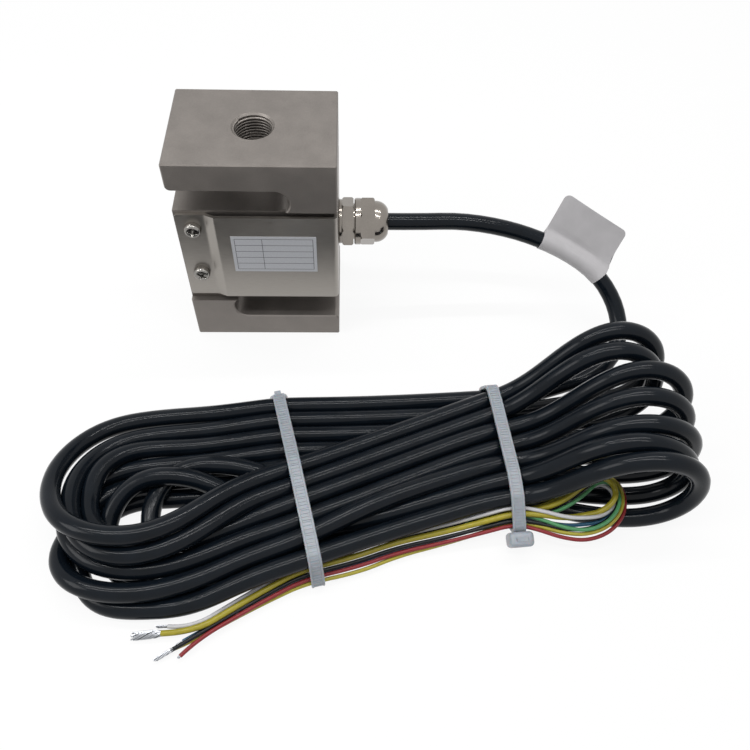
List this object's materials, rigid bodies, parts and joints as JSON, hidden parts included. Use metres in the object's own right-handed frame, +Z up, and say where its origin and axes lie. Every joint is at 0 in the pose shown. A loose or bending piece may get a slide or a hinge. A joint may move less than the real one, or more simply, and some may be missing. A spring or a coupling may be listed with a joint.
{
  "type": "s type load cell",
  "caption": "S-shaped tension and compression load cell with a covered gauge pocket, tapped ends, a cable gland and a tied hank of cable with bared conductors.",
  "frame": {"origin": "centre of the beam's lower face, on the axis of both load threads", "axes": "+Z up along the load axis, +X from the beam to its cable gland, -Y the side with the label"},
  "size_m": [0.209, 0.1597, 0.0762],
  "materials": {
    "beam_steel": "satin nickel-plated alloy steel",
    "cover_steel": "satin plated sheet steel",
    "screw_steel": "polished plated steel",
    "label_foil": "silvery foil, bare",
    "gauge_film": "amber polyimide film",
    "board_green": "solder-masked laminate",
    "fine_copper": "bare copper",
    "lead_insulation": "PVC insulation",
    "potting_silicone": "soft white silicone",
    "gland_nickel": "nickel-plated brass",
    "claw_plastic": "black polyamide",
    "seal_rubber": "black rubber",
    "cable_jacket": "glossy black PVC",
    "tie_nylon": "translucent natural nylon",
    "flag_paper": "white coated paper",
    "tin": "tinned copper",
    "core_white": "PVC insulation",
    "core_yellow": "PVC insulation",
    "core_green": "PVC insulation",
    "core_black": "PVC insulation",
    "core_blue": "PVC insulation",
    "core_red": "PVC insulation",
    "core_shield": "PVC sleeve over the drain wires"
  },
  "bodies": {
    "root": {"beam_body": "beam_steel", "cover": "cover_steel", "cover_screws_front": "screw_steel", "cover_screws_back": "screw_steel", "label_plate": "label_foil", "strain_gauge_front": "gauge_film", "strain_gauge_back": "gauge_film", "bridge_board": "board_green", "gauge_jumpers": "fine_copper", "leads_front": "lead_insulation", "leads_back": "lead_insulation", "potting_front": "potting_silicone", "potting_back": "potting_silicone", "gland_washer": "gland_nickel", "gland_body": "gland_nickel", "gland_claw": "claw_plastic", "gland_seal": "seal_rubber", "gland_cap_nut": "gland_nickel", "cable_inner_end": "cable_jacket", "cable_lead": "cable_jacket", "cable_hank": "cable_jacket", "cable_tie_left": "tie_nylon", "cable_tie_right": "tie_nylon", "marker_flag": "flag_paper", "tinned_ends": "tin", "core_white": "core_white", "core_yellow": "core_yellow", "core_green": "core_green", "core_black": "core_black", "core_blue": "core_blue", "core_red": "core_red", "core_shield": "core_shield"}
  },
  "joints": []
}
